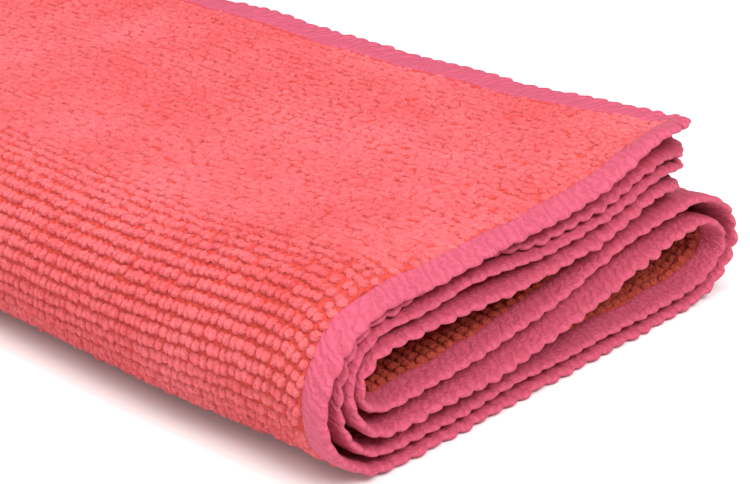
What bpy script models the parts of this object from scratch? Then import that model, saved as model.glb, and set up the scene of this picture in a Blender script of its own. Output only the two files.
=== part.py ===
"""A square terry microfiber cloth, folded three times and lying on a surface.

The cloth is one panel with an overlocked hem on all four sides. The first fold,
at the far end, lays the panel double. The double cloth is then folded twice
across its width, which gives eight layers, open at the near end:

    L1  outer sheet  -------------------+   free ends of the cloth, at the right
    L2  inner sheet  ------------------+
    L3  inner sheet  ------------------+
    L4  outer sheet  -----------------+
        upper hollow
    L5  outer sheet  -----------------------.
    L6  inner sheet  ---------------------.  |
        lower hollow                      |  |  right bends
    L7  inner sheet  ---------------------'  |
    L8  outer sheet  -----------------------'   flat on the surface

The left bends join L1 to L8, L2 to L7, L3 to L6 and L4 to L5. X runs from the
left bends to the free ends, Y from the open near end to the first fold, Z up.
All sizes below are in millimetres.
"""

import math

import bmesh
import bpy
import numpy as np

MM = 0.001

# The cloth itself
HALF_LENGTH = 200.0  # the panel is 400 mm square, and the first fold halves it
BODY_THICKNESS = 2.2  # terry, both piles pressed down
HEM_THICKNESS = 1.7
HEM_WIDTH = 5.2
HEM_SHOULDER = 1.5  # width of the slope from the hem up to the terry
RIM_THICKNESS = 1.0  # at the very edge, where the stitches turn round it
RIM_ROUNDING = 0.8
CORNER_RADIUS = 7.0

# How far the near end and the far end differ from the body between them
NEAR_END = 10.0
FAR_END = 22.0

# Heights of the middle of each layer above the surface. The columns are the
# places across the stack, from the left bends to the free ends.
PLACES = (12.0, 30.0, 49.0, 62.0, 76.0, 92.0)
NEAR_HEIGHTS = {
    "L1": (28.0, 28.9, 29.5, 30.9, 35.1, 33.0),
    "L2": (25.9, 27.0, 25.85, 26.75, 29.8, 27.9),
    "L3": (24.0, 25.2, 23.9, 24.8, 27.4, 25.4),
    "L4": (21.4, 21.0, 20.5, 22.0, 24.9, 22.7),
    "L5": (11.2, 12.3, 14.8, 17.7, 20.1, 20.4),
    "L6": (7.1, 7.2, 8.9, 11.4, 14.8, 16.5),
    "L7": (3.5, 3.4, 3.7, 3.5, 3.4, 3.4),
}
BODY_HEIGHTS = {
    "L1": (29.7, 29.3, 29.6, 30.3, 31.1, 30.3),
    "L2": (27.0, 26.6, 26.9, 27.6, 28.4, 27.6),
    "L3": (24.3, 23.9, 24.2, 24.9, 25.7, 24.9),
    "L4": (21.6, 21.2, 21.5, 22.2, 23.0, 22.2),
    "L5": (11.2, 12.4, 14.5, 16.9, 18.9, 19.3),
    "L6": (8.0, 9.2, 11.4, 13.7, 15.8, 16.2),
    "L7": (4.0, 3.9, 4.0, 4.0, 4.0, 4.0),
}
FAR_HEIGHTS = {
    "L1": (31.0, 30.5, 30.9, 31.8, 33.0, 32.4),
    "L2": (27.6, 27.0, 27.3, 28.2, 29.3, 28.8),
    "L3": (24.9, 24.2, 24.5, 25.3, 26.5, 25.9),
    "L4": (21.4, 20.7, 21.0, 21.8, 23.1, 22.5),
    "L5": (12.0, 13.1, 15.1, 17.5, 19.7, 20.1),
    "L6": (8.4, 9.6, 11.7, 13.9, 16.2, 16.6),
    "L7": (4.8, 4.7, 4.8, 4.8, 4.8, 4.8),
}

# The bends: the layers that each one joins, where it leaves the flat layers,
# and how far it reaches past there at the near end, in the body and at the far
# end. Left bends reach towards -X and right bends towards +X.
BEND_COLUMNS = ("first", "second", "start", "near", "body", "far")
BENDS = {
    "left outer": ("L1", "L8", 12.0, -15.2, -15.0, -15.8),
    "left second": ("L2", "L7", 12.0, -11.5, -12.1, -12.1),
    "left third": ("L6", "L3", 12.0, -9.4, -9.4, -9.2),
    "left inner": ("L5", "L4", 12.0, -7.3, -6.6, -5.8),
    "right outer": ("L8", "L5", 84.0, 14.8, 14.1, 14.3),
    "right inner": ("L7", "L6", 84.0, 11.1, 10.9, 10.4),
}

# Each sheet, from its upper free end to its lower one: the flat layers and the
# bends in turn, with the number of columns of points that each one takes.
OUTER_SHEET = (
    ("L1", 15), ("left outer", 10), ("L8", 8), ("right outer", 9),
    ("L5", 10), ("left inner", 8), ("L4", 15),
)
INNER_SHEET = (
    ("L2", 15), ("left second", 10), ("L7", 8), ("right inner", 9),
    ("L6", 10), ("left third", 8), ("L3", 15),
)
FREE_LAYERS = ("L1", "L2", "L3", "L4")

# Where the free ends of the four upper layers lie, near, body and far
FREE_ENDS = {
    "L1": (92.4, 93.9, 95.0),
    "L2": (92.6, 92.2, 95.0),
    "L3": (91.3, 91.1, 91.6),
    "L4": (89.0, 88.8, 91.6),
}

# How far each layer's rim stands back from the near end, in the same columns. The
# rims of the free layers swing back towards their ends.
RIM_SETBACK = {
    "L1": (0.0, 0.0, 0.0, 0.0, 0.3, 2.8),
    "L2": (1.5, 4.2, 1.8, 1.4, 1.7, 4.2),
    "L3": (0.9, 0.7, 1.0, 1.0, 1.3, 3.6),
    "L4": (0.2, 0.2, 0.2, 0.2, 0.5, 3.0),
    "L5": (0.4, 0.4, 0.4, 0.4, 0.4, 0.4),
    "L6": (0.0, 0.0, 0.0, 0.0, 0.0, 0.0),
    "L7": (0.9, 0.9, 0.9, 0.9, 0.9, 0.9),
    "L8": (0.5, 0.5, 0.5, 0.5, 0.5, 0.5),
}
SETBACK_FADES = 60.0  # distance from the rim where the set-back has gone

# Slow unevenness along the stack: places along Y, the rise of the top there,
# and how far the left and right bends stand out there
ALONG = (0.0, 16.0, 36.0, 62.0, 90.0, 120.0, 150.0, 200.0)
TOP_RISE = (0.0, 0.9, 0.2, -0.6, -0.3, 0.9, 0.2, 0.6)
LEFT_SWELL = (0.0, -0.3, 0.5, 0.2, -0.6, 0.4, 0.9, -0.3)
RIGHT_SWELL = (0.0, 0.4, -0.2, 0.7, 0.3, -0.7, 0.5, 0.2)
TOP_HEIGHT = 30.0
MIDDLE = 48.5

# Rows of points along Y, as distances from the near rim. The rows in the hem
# are used again as distances from the free ends.
HEM_ROWS = (0.0, RIM_ROUNDING, 3.0, HEM_WIDTH, HEM_WIDTH + HEM_SHOULDER)
BODY_ROWS = (22.0, 42.0, 68.0, 94.0, 120.0, 148.0, 172.0, 186.0)
FOLD_START = HALF_LENGTH - 4.0
FOLD_BULGE = 1.0
FOLD_STEPS = 4

COLOUR = (0.956, 0.147, 0.153, 1.0)
ROUGHNESS = 0.95


def smooth_step(value, start, end):
    """Rises from 0 at start to 1 at end, level at both."""
    share = np.clip((value - start) / (end - start), 0.0, 1.0)
    return share * share * (3.0 - 2.0 * share)


def smooth_curve(value, places, heights):
    """A smooth curve through a short row of heights, level past its ends."""
    places = np.asarray(places, float)
    heights = np.asarray(heights, float)
    slopes = np.gradient(heights, places)
    slopes[0] = slopes[-1] = 0.0
    value = np.clip(value, places[0], places[-1])
    i = int(np.clip(np.searchsorted(places, value) - 1, 0, len(places) - 2))
    span = places[i + 1] - places[i]
    t = (value - places[i]) / span
    return (
        heights[i] * (2 * t**3 - 3 * t**2 + 1)
        + heights[i + 1] * (3 * t**2 - 2 * t**3)
        + slopes[i] * span * (t**3 - 2 * t**2 + t)
        + slopes[i + 1] * span * (t**3 - t**2)
    )


def along_stack(y, near, body, far):
    """Blends a near, a body and a far value by the place along the stack."""
    near_share = 1.0 - smooth_step(y, 0.0, NEAR_END)
    far_share = smooth_step(y, HALF_LENGTH - FAR_END, HALF_LENGTH)
    return body + (near - body) * near_share + (far - body) * far_share


def thickness(from_edge):
    """Thickness of the cloth at a distance from its edge."""
    rounded = math.sqrt(max(0.0, 1.0 - (1.0 - min(from_edge / RIM_ROUNDING, 1.0)) ** 2))
    hem = RIM_THICKNESS + (HEM_THICKNESS - RIM_THICKNESS) * rounded
    pile = smooth_step(from_edge, HEM_WIDTH, HEM_WIDTH + HEM_SHOULDER)
    return hem + (BODY_THICKNESS - HEM_THICKNESS) * float(pile)


def layer_height(layer, x, y, thick):
    """Height of the middle of a layer."""
    if layer == "L8":
        return thick / 2
    rows = (NEAR_HEIGHTS[layer], BODY_HEIGHTS[layer], FAR_HEIGHTS[layer])
    return along_stack(y, *(smooth_curve(x, PLACES, row) for row in rows))


def layer_slope(layer, x, y, thick):
    """Slope of a layer across the stack."""
    step = 0.5
    after = layer_height(layer, x + step, y, thick)
    before = layer_height(layer, x - step, y, thick)
    return (after - before) / (2 * step)


def bend_point(name, turn, y, thick):
    """Point on a bend, where turn goes from 0 to 1 along the sheet."""
    bend = dict(zip(BEND_COLUMNS, BENDS[name]))
    reach = along_stack(y, bend["near"], bend["body"], bend["far"])
    start = bend["start"]
    first = layer_height(bend["first"], start, y, thick)
    second = layer_height(bend["second"], start, y, thick)
    past = reach * math.sin(math.pi * turn)
    height = (first + second) / 2 + (first - second) / 2 * math.cos(math.pi * turn)
    # The bend leaves each layer along that layer's own slope.
    height += layer_slope(bend["first"], start, y, thick) * past * (1 - turn) ** 2
    height += layer_slope(bend["second"], start, y, thick) * past * turn**2
    return start + past, height


def free_end(layer, y):
    return along_stack(y, *FREE_ENDS[layer])


def flat_columns(place, sheet):
    """Columns of a flat layer: ('end', distance) from a free end, or ('x', x)."""
    layer, count = sheet[place]
    starts = [
        BENDS[sheet[neighbour][0]][BEND_COLUMNS.index("start")]
        for neighbour in (place - 1, place + 1)
        if 0 <= neighbour < len(sheet)
    ]
    if layer not in FREE_LAYERS:
        return [("x", x) for x in np.linspace(*starts, count)]
    hem = [("end", distance) for distance in HEM_ROWS]
    inner = free_end(layer, HALF_LENGTH / 2) - HEM_ROWS[-1]
    body = np.linspace(inner, starts[0], count - len(HEM_ROWS) + 1)[1:]
    columns = hem + [("x", x) for x in body]
    return columns if place == 0 else columns[::-1]


def round_corner(from_end, from_rim):
    """Moves the points of a square corner onto a rounded one."""
    across = CORNER_RADIUS - from_end
    back = CORNER_RADIUS - from_rim
    if across <= 0.0 or back <= 0.0:
        return from_end, from_rim
    scale = max(across, back) / math.hypot(across, back)
    return CORNER_RADIUS - across * scale, CORNER_RADIUS - back * scale


def layer_setback(layer, x):
    """Set-back of a flat layer's rim."""
    return smooth_curve(x, PLACES, RIM_SETBACK[layer])


def bend_setback(name, turn):
    """Set-back of a bend's rim, blended between its two layers."""
    first, second, start = BENDS[name][:3]
    share = smooth_step(turn, 0.0, 1.0)
    return layer_setback(first, start) * (1 - share) + layer_setback(second, start) * share


def sheet_row(sheet, distance):
    """Points of the middle of one sheet at a distance from its near rim.

    Returns the points and the thickness of the cloth at each of them."""
    points, thicknesses = [], []
    set_back = 1.0 - smooth_step(distance, 0.0, SETBACK_FADES)
    rim_thick = thickness(distance)
    for place, (name, count) in enumerate(sheet):
        if name in BENDS:
            for turn in np.linspace(0.0, 1.0, count + 2)[1:-1]:
                x, z = bend_point(name, turn, distance, rim_thick)
                points.append((x, distance + set_back * bend_setback(name, turn), z))
                thicknesses.append(rim_thick)
            continue
        for kind, value in flat_columns(place, sheet):
            x, from_rim, thick = value, distance, rim_thick
            if kind == "end":
                from_end, from_rim = round_corner(value, distance)
                x = free_end(name, distance) - from_end
                thick = thickness(min(value, distance))
            z = layer_height(name, x, from_rim, thick)
            points.append((x, from_rim + set_back * layer_setback(name, x), z))
            thicknesses.append(thick)
    return np.array(points), np.array(thicknesses)


def middle_surface():
    """Grid of points through the middle of the whole cloth.

    Rows go from the outer sheet's near rim, round the first fold, to the inner
    sheet's near rim. Columns go from the upper free end to the lower one."""
    distances = HEM_ROWS + BODY_ROWS + (FOLD_START,)
    outer = [sheet_row(OUTER_SHEET, distance) for distance in distances]
    inner = [sheet_row(INNER_SHEET, distance) for distance in distances]
    fold = []
    first, thick = outer[-1]
    last = inner[-1][0]
    for step in range(1, FOLD_STEPS):
        angle = math.pi * step / FOLD_STEPS
        centre = (first + last) / 2
        half = (first - last) / 2
        radius = np.linalg.norm(half[:, [0, 2]], axis=1)
        point = centre + half * math.cos(angle)
        point[:, 1] += (radius + FOLD_BULGE) * math.sin(angle)
        fold.append((point, thick))
    rows = outer + fold + inner[::-1]
    return np.array([row[0] for row in rows]), np.array([row[1] for row in rows])


def outward(points):
    """Unit normals of the grid, pointing out of the first fold."""
    along = np.gradient(points, axis=0)
    across = np.gradient(points, axis=1)
    normals = np.cross(along, across)
    return normals / np.linalg.norm(normals, axis=2, keepdims=True)


def uneven(points):
    """The slow unevenness of the stack. The surface it lies on stays flat."""
    result = points.copy()
    for index in np.ndindex(points.shape[:-1]):
        x, y, z = points[index]
        rise = smooth_curve(y, ALONG, TOP_RISE)
        swell = LEFT_SWELL if x < MIDDLE else RIGHT_SWELL
        result[index][0] = x + (x - MIDDLE) / MIDDLE * smooth_curve(y, ALONG, swell)
        result[index][2] = z * (1.0 + rise / TOP_HEIGHT)
    return result


def resting_columns():
    """Columns of the grid that lie in the bottom layer."""
    before = 0
    for name, count in OUTER_SHEET:
        if name == "L8":
            return slice(before, before + count)
        before += count


def cloth_faces():
    """Both faces of the cloth as grids of points, the outer one first."""
    middle, thick = middle_surface()
    half = outward(middle) * thick[:, :, None] / 2
    outer_face, inner_face = middle + half, middle - half
    outer_rows = slice(0, len(HEM_ROWS) + len(BODY_ROWS) + 1)
    outer_face[outer_rows, resting_columns(), 2] = 0.0
    return uneven(outer_face), uneven(inner_face)


def add_cloth(name, material):
    """Builds the cloth as one closed solid."""
    outer_face, inner_face = cloth_faces()
    both = np.concatenate([outer_face.reshape(-1, 3), inner_face.reshape(-1, 3)])
    low, high = both.min(axis=0), both.max(axis=0)
    origin = np.array([(low[0] + high[0]) / 2, (low[1] + high[1]) / 2, low[2]])

    mesh = bmesh.new()
    rows, columns = outer_face.shape[:2]
    outer, inner = (
        [[mesh.verts.new((face[i, j] - origin) * MM) for j in range(columns)] for i in range(rows)]
        for face in (outer_face, inner_face)
    )
    for i in range(rows - 1):
        for j in range(columns - 1):
            mesh.faces.new((outer[i][j], outer[i][j + 1], outer[i + 1][j + 1], outer[i + 1][j]))
            mesh.faces.new((inner[i][j], inner[i + 1][j], inner[i + 1][j + 1], inner[i][j + 1]))
    border = [(0, j) for j in range(columns)]
    border += [(i, columns - 1) for i in range(1, rows)]
    border += [(rows - 1, j) for j in range(columns - 2, -1, -1)]
    border += [(i, 0) for i in range(rows - 2, 0, -1)]
    for (i, j), (k, m) in zip(border, border[1:] + border[:1]):
        mesh.faces.new((outer[k][m], outer[i][j], inner[i][j], inner[k][m]))
    bmesh.ops.triangulate(mesh, faces=mesh.faces[:])
    if mesh.calc_volume(signed=True) < 0.0:
        bmesh.ops.reverse_faces(mesh, faces=mesh.faces[:])

    data = bpy.data.meshes.new(name)
    mesh.to_mesh(data)
    mesh.free()
    data.materials.append(material)
    data.shade_smooth()
    cloth = bpy.data.objects.new(name, data)
    bpy.context.scene.collection.objects.link(cloth)
    return cloth


def terry_material():
    material = bpy.data.materials.new("terry microfiber")
    material.use_nodes = True
    shader = material.node_tree.nodes["Principled BSDF"]
    shader.inputs["Base Color"].default_value = COLOUR
    shader.inputs["Roughness"].default_value = ROUGHNESS
    shader.inputs["Metallic"].default_value = 0.0
    return material


def main():
    for obj in list(bpy.data.objects):
        bpy.data.objects.remove(obj, do_unlink=True)
    add_cloth("cloth", terry_material())


main()
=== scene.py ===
"""Looks of a folded terry microfiber cloth.

The cloth is a 400 mm square of warp-knitted terry with an overlocked edge. It is
folded in half at the far end, and the double cloth is folded twice across. The
tables give the middle of the cloth through its eight layers, as the model that
this file dresses has them. On that surface lie the ground of the cloth, the
overlocked edge and the pile loops.

Sizes in the tables are in millimetres. A place on the cloth is (u, v): u runs
from the upper free end to the lower one, v from the outer sheet's near rim round
the first fold to the inner sheet's near rim.
"""

import math

import bmesh
import bpy
import numpy as np
from mathutils import Matrix, Vector


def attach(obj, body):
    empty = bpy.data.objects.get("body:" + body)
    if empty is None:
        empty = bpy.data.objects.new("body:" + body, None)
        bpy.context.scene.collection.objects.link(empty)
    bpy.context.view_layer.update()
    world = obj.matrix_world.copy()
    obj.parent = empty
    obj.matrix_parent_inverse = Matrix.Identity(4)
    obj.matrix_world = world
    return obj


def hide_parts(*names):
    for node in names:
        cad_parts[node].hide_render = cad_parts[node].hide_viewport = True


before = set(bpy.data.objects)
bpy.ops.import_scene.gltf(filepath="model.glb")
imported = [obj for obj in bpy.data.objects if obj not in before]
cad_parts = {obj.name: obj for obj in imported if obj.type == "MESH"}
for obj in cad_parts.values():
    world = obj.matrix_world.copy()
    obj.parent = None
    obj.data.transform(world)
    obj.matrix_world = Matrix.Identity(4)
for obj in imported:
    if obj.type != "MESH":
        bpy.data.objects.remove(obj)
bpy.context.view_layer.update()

bl_info = {
    "name": "Folded microfiber cloth",
    "version": (1, 0, 0),
    "blender": (4, 5, 0),
    "location": "View3D > Sidebar > Cloth",
    "description": "Ground, overlocked edge, pile loops and stage of a folded terry cloth",
    "category": "Add Mesh",
}

MM = 0.001

# Camera: a long lens close to the near left corner, millimetres and degrees
CAMERA_PLACE = (-233.4, -298.0, 160.7)
CAMERA_YAW = 44.40
CAMERA_DOWN = 23.59
CAMERA_ROLL = -2.5
CAMERA_LENS = 100.0

# The cloth itself
SIDE = 400.0
HALF_LENGTH = SIDE / 2
BODY_THICKNESS = 2.2
HEM_THICKNESS = 1.7
HEM_WIDTH = 5.2
HEM_SHOULDER = 1.5

# How far the near end and the far end differ from the body between them
NEAR_END = 10.0
FAR_END = 22.0

# Heights of the middle of each layer, by place across the stack
PLACES = (12.0, 30.0, 49.0, 62.0, 76.0, 92.0)
NEAR_HEIGHTS = {
    "L1": (28.0, 28.9, 29.5, 30.9, 35.1, 33.0),
    "L2": (25.9, 27.0, 25.85, 26.75, 29.8, 27.9),
    "L3": (24.0, 25.2, 23.9, 24.8, 27.4, 25.4),
    "L4": (21.4, 21.0, 20.5, 22.0, 24.9, 22.7),
    "L5": (11.2, 12.3, 14.8, 17.7, 20.1, 20.4),
    "L6": (7.1, 7.2, 8.9, 11.4, 14.8, 16.5),
    "L7": (3.5, 3.4, 3.7, 3.5, 3.4, 3.4),
}
BODY_HEIGHTS = {
    "L1": (29.7, 29.3, 29.6, 30.3, 31.1, 30.3),
    "L2": (27.0, 26.6, 26.9, 27.6, 28.4, 27.6),
    "L3": (24.3, 23.9, 24.2, 24.9, 25.7, 24.9),
    "L4": (21.6, 21.2, 21.5, 22.2, 23.0, 22.2),
    "L5": (11.2, 12.4, 14.5, 16.9, 18.9, 19.3),
    "L6": (8.0, 9.2, 11.4, 13.7, 15.8, 16.2),
    "L7": (4.0, 3.9, 4.0, 4.0, 4.0, 4.0),
}
FAR_HEIGHTS = {
    "L1": (31.0, 30.5, 30.9, 31.8, 33.0, 32.4),
    "L2": (27.6, 27.0, 27.3, 28.2, 29.3, 28.8),
    "L3": (24.9, 24.2, 24.5, 25.3, 26.5, 25.9),
    "L4": (21.4, 20.7, 21.0, 21.8, 23.1, 22.5),
    "L5": (12.0, 13.1, 15.1, 17.5, 19.7, 20.1),
    "L6": (8.4, 9.6, 11.7, 13.9, 16.2, 16.6),
    "L7": (4.8, 4.7, 4.8, 4.8, 4.8, 4.8),
}

# Bends: the layers each one joins, where it starts, and its reach past there
# at the near end, in the body and at the far end
BENDS = {
    "left outer": ("L1", "L8", 12.0, (-15.2, -15.0, -15.8)),
    "left second": ("L2", "L7", 12.0, (-11.5, -12.1, -12.1)),
    "left third": ("L6", "L3", 12.0, (-9.4, -9.4, -9.2)),
    "left inner": ("L5", "L4", 12.0, (-7.3, -6.6, -5.8)),
    "right outer": ("L8", "L5", 84.0, (14.8, 14.1, 14.3)),
    "right inner": ("L7", "L6", 84.0, (11.1, 10.9, 10.4)),
}
OUTER_SHEET = ("L1", "left outer", "L8", "right outer", "L5", "left inner", "L4")
INNER_SHEET = ("L2", "left second", "L7", "right inner", "L6", "left third", "L3")

# Where the free ends of the upper layers lie, near, body and far
FREE_ENDS = {
    "L1": (92.4, 93.9, 95.0),
    "L2": (92.6, 92.2, 95.0),
    "L3": (91.3, 91.1, 91.6),
    "L4": (89.0, 88.8, 91.6),
}

# How far each rim stands back from the near end, by place across the stack
RIM_SETBACK = {
    "L1": (0.0, 0.0, 0.0, 0.0, 0.3, 2.8),
    "L2": (1.5, 4.2, 1.8, 1.4, 1.7, 4.2),
    "L3": (0.9, 0.7, 1.0, 1.0, 1.3, 3.6),
    "L4": (0.2, 0.2, 0.2, 0.2, 0.5, 3.0),
    "L5": (0.4, 0.4, 0.4, 0.4, 0.4, 0.4),
    "L6": (0.0, 0.0, 0.0, 0.0, 0.0, 0.0),
    "L7": (0.9, 0.9, 0.9, 0.9, 0.9, 0.9),
    "L8": (0.5, 0.5, 0.5, 0.5, 0.5, 0.5),
}
SETBACK_FADES = 60.0

# Points across the stack for one bend, with its ends, and for one flat layer
BEND_POINTS = 42
LAYER_POINTS = 90

# Slow unevenness along the stack
ALONG = (0.0, 16.0, 36.0, 62.0, 90.0, 120.0, 150.0, 200.0)
TOP_RISE = (0.0, 0.9, 0.2, -0.6, -0.3, 0.9, 0.2, 0.6)
LEFT_SWELL = (0.0, -0.3, 0.5, 0.2, -0.6, 0.4, 0.9, -0.3)
RIGHT_SWELL = (0.0, 0.4, -0.2, 0.7, 0.3, -0.7, 0.5, 0.2)
TOP_HEIGHT = 30.0
MIDDLE = 48.5

# The first fold, at the far end
FOLD_START = HALF_LENGTH - 4.0
FOLD_BULGE = 1.0

# Between these distances from the near rims the two sheets come to share one measure
SHARED_FROM = 20.0
SHARED_TO = 180.0

# The middle of the stack's box, which is the origin of the model
ORIGIN = (47.52, 100.04, 0.0)

# Soft troughs and ridges in the two outer faces: place (u, v), half length and
# half width, the angle of the crease to u, and its height
CREASES = (
    # u, v, half length, half width, degrees, height
    (26.0, 38.0, 30.0, 9.0, 62.0, -0.35),
    (52.0, 66.0, 34.0, 10.0, 38.0, 0.30),
    (34.0, 104.0, 38.0, 11.0, 74.0, -0.35),
    (64.0, 132.0, 30.0, 9.0, 25.0, 0.35),
    (22.0, 158.0, 28.0, 9.0, 55.0, 0.30),
    (74.0, 176.0, 26.0, 8.0, 80.0, -0.30),
    (104.0, 60.0, 26.0, 7.0, 85.0, -0.30),
    (106.0, 128.0, 30.0, 8.0, 96.0, 0.35),
    (214.0, 84.0, 30.0, 8.0, 88.0, 0.30),
    (216.0, 150.0, 24.0, 7.0, 94.0, -0.30),
)

# The overlocked edge
CORNER_RADIUS = 8.0
SCALLOP_STEPS = 8
SCALLOP_SIZES = (0.5, 1.5)  # smallest and largest, as a share of the usual one
SCALLOP_SPREAD = 0.22  # how much the scallops differ in size
SCALLOP_LIFT = 0.11  # how far a scallop stands up or down
SCALLOP_SHIFT = 0.10  # how far it lies aside, as a share of its length
GROOVE_DEPTH = 0.2  # how deep the needle thread pulls in
GROOVE_SLANT = 0.45  # run of a groove along the edge for its run across
GROOVE_WIDTH = 0.17  # its half width, as a share of a scallop
GROOVE_AT = 1.9  # where it is deepest, in from the rim
GROOVE_REACH = 1.5  # how far it reaches from there
THREADS = 2  # slanted threads to a scallop
THREAD_SLANT = 0.42  # run of a thread along the edge for its run across
THREAD_STRAY = 14.0  # how far the threads stray from even lines, radians
HEM_WANDER = 0.3  # how far the inner line of the edge wanders
HEM_WANDER_TURNS = (61, 97, 143)  # its three waves, in turns round the whole cloth
WIDER_HEM = 3.2  # how much wider the edge is along the upper free end and on the right bend
WIDER_END = (4.0, 30.0)  # v where the wider edge of the free end starts and is full
WIDER_BEND = (198.0, 216.0, 244.0, 264.0)  # u where that of the bend starts, is full, and ends

# How far the rims wander up and down, the lengths of the two waves over 2 pi, and
# how far in from the rim the wandering dies out
RIM_WAVE = 0.28
NEAR_RIM_WAVES = (3.9, 6.7)
FREE_END_WAVES = (4.3, 7.7)
RIM_FADE = 14.0

# Section of the overlocked edge, from its buried inner end on one face to the
# rim: distance in from the rim, half thickness, and its share of the scallops
# and of the wander of the inner line
EDGE_SECTION = (
    # distance, half thickness, scallop, wander
    (5.0, 0.60, 0.00, 1.0),
    (4.8, 0.84, 0.00, 1.0),
    (4.4, 0.93, 0.00, 1.0),
    (3.7, 0.90, 0.00, 0.8),
    (3.0, 0.87, 0.05, 0.5),
    (2.3, 0.85, 0.20, 0.2),
    (1.6, 0.80, 0.45, 0.0),
    (1.0, 0.71, 0.75, 0.0),
    (0.55, 0.56, 0.95, 0.0),
    (0.2, 0.36, 1.00, 0.0),
    (0.0, 0.00, 1.00, 0.0),
)

# The ground and the loops
GROUND_THICKNESS = 1.3
GROUND_INSET = 4.2
GROUND_COLUMNS = 190
GROUND_ROWS = 150
BEND_SHARE = 0.12  # how much closer the lines of the ground stand where it bends

# Stretches of the cloth's outer face that carry loops: u from and to, v from and
# to, the pitch of the loops and how far they stray out of their rows, their depth
# in the ground, and their size across, along and up. The top of the stack has
# been stroked, so its loops have opened and its rows hardly show.
PILE = {
    # name: u range, v range, pitch, stray, depth, size
    "pile_top_left": ((44.0, 76.0), (4.8, 196.0), 0.76, 0.28, 0.40, (1.12, 1.3, 0.66)),
    "pile_top_right": ((4.8, 44.0), (4.8, 196.0), 0.76, 0.26, 0.40, (1.06, 1.22, 0.7)),
    "pile_shoulder": ((76.0, 88.0), (4.8, 196.0), 1.0, 0.2, 0.35, (1.08, 1.12, 0.85)),
    "pile_left_bend": ((88.0, 134.0), (4.8, 196.0), 1.0, 0.12, 0.35, (1.0, 1.0, 1.0)),
    "pile_right_bend": ((194.0, 262.0), (4.8, 196.0), 1.0, 0.09, 0.35, (1.0, 1.0, 1.0)),
    "pile_far_fold": ((4.8, 395.2), (194.6, 206.6), 1.0, 0.14, 0.35, (1.0, 1.0, 1.0)),
    "pile_upper_hollow": ((262.0, 395.2), (4.8, 40.0), 1.0, 0.12, 0.35, (1.12, 1.15, 1.0)),
    "pile_lower_hollow": ((120.0, 312.0), (360.0, 395.2), 1.0, 0.12, 0.35, (1.12, 1.15, 1.0)),
    "pile_upper_hollow_far": ((262.0, 395.2), (176.0, 196.0), 1.0, 0.12, 0.35, (1.12, 1.15, 1.0)),
    "pile_lower_hollow_far": ((120.0, 312.0), (206.0, 224.0), 1.0, 0.12, 0.35, (1.12, 1.15, 1.0)),
}

ROW_PITCH = 2.15  # from one row of loops to the next, across the cloth
LOOP_PITCH = 1.5  # from loop to loop along a row
LOOP_SWING = 0.3  # angle of a loop to the line across its row, radians
SWING_SPREAD = 0.25  # how much that angle varies
LOOP_TILT = 0.08  # how far a loop leans out of upright
ROOT_SPREAD = 0.05  # how much the depth of the roots varies
STRAY_ALONG = 0.08  # how much further loops stray along a row than out of it
FIRST_SEED = 11  # seed of the first stretch of loops; the others follow

STEP = 1.0  # spacing of the grid that the pieces read the surface from
LYING = 2.0  # where the middle of the cloth is lower than this, it lies on what carries it
CLEARANCE = 0.02  # every piece stays this far above that

# Softboxes: place, aim and size in metres, power in watts
SOFTBOXES = {
    "overhead softbox": ((-0.25, 0.1, 1.1), (0, 0, 0), (1.3, 1.3), 14.5),
    "left softbox": ((-1.2, -0.35, 0.5), (0, 0, 0.02), (0.8, 0.6), 4.3),
    "front softbox": ((-0.1, -0.98, 1.02), (0, -0.05, 0.02), (0.9, 0.6), 17.5),
}
ROOM_LIGHT = 0.25
FLOOR_HALF = 4000.0


def linear(hex_colour):
    """sRGB hex to the linear colour that the shaders take."""
    values = [int(hex_colour[i:i + 2], 16) / 255 for i in (1, 3, 5)]
    return (*(v / 12.92 if v <= 0.04045 else ((v + 0.055) / 1.055) ** 2.4 for v in values), 1.0)


def smooth_step(value, start, end):
    share = np.clip((value - start) / (end - start), 0.0, 1.0)
    return share * share * (3.0 - 2.0 * share)


def smooth_curve(value, places, heights):
    """A smooth curve through a short row of heights, level past its ends."""
    places, heights = np.asarray(places, float), np.asarray(heights, float)
    slopes = np.gradient(heights, places)
    slopes[0] = slopes[-1] = 0.0
    value = np.clip(value, places[0], places[-1])
    i = np.clip(np.searchsorted(places, value) - 1, 0, len(places) - 2)
    span = places[i + 1] - places[i]
    t = (value - places[i]) / span
    return (
        heights[i] * (2 * t**3 - 3 * t**2 + 1)
        + heights[i + 1] * (3 * t**2 - 2 * t**3)
        + slopes[i] * span * (t**3 - 2 * t**2 + t)
        + slopes[i + 1] * span * (t**3 - t**2)
    )


def along_stack(y, near, body, far):
    near_share = 1.0 - smooth_step(y, 0.0, NEAR_END)
    far_share = smooth_step(y, HALF_LENGTH - FAR_END, HALF_LENGTH)
    return body + (near - body) * near_share + (far - body) * far_share


def layer_height(layer, x, y):
    """Height of the middle of a layer at a distance y from its near rim."""
    if layer == "L8":
        pile = smooth_step(y, HEM_WIDTH, HEM_WIDTH + HEM_SHOULDER)
        thick = HEM_THICKNESS + (BODY_THICKNESS - HEM_THICKNESS) * pile
        return np.full_like(x, thick / 2)
    rows = (NEAR_HEIGHTS[layer], BODY_HEIGHTS[layer], FAR_HEIGHTS[layer])
    return along_stack(y, *(smooth_curve(x, PLACES, row) for row in rows))


def layer_slope(layer, x, y):
    after, before = layer_height(layer, np.array([x + 0.5, x - 0.5]), y)
    return after - before


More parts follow.
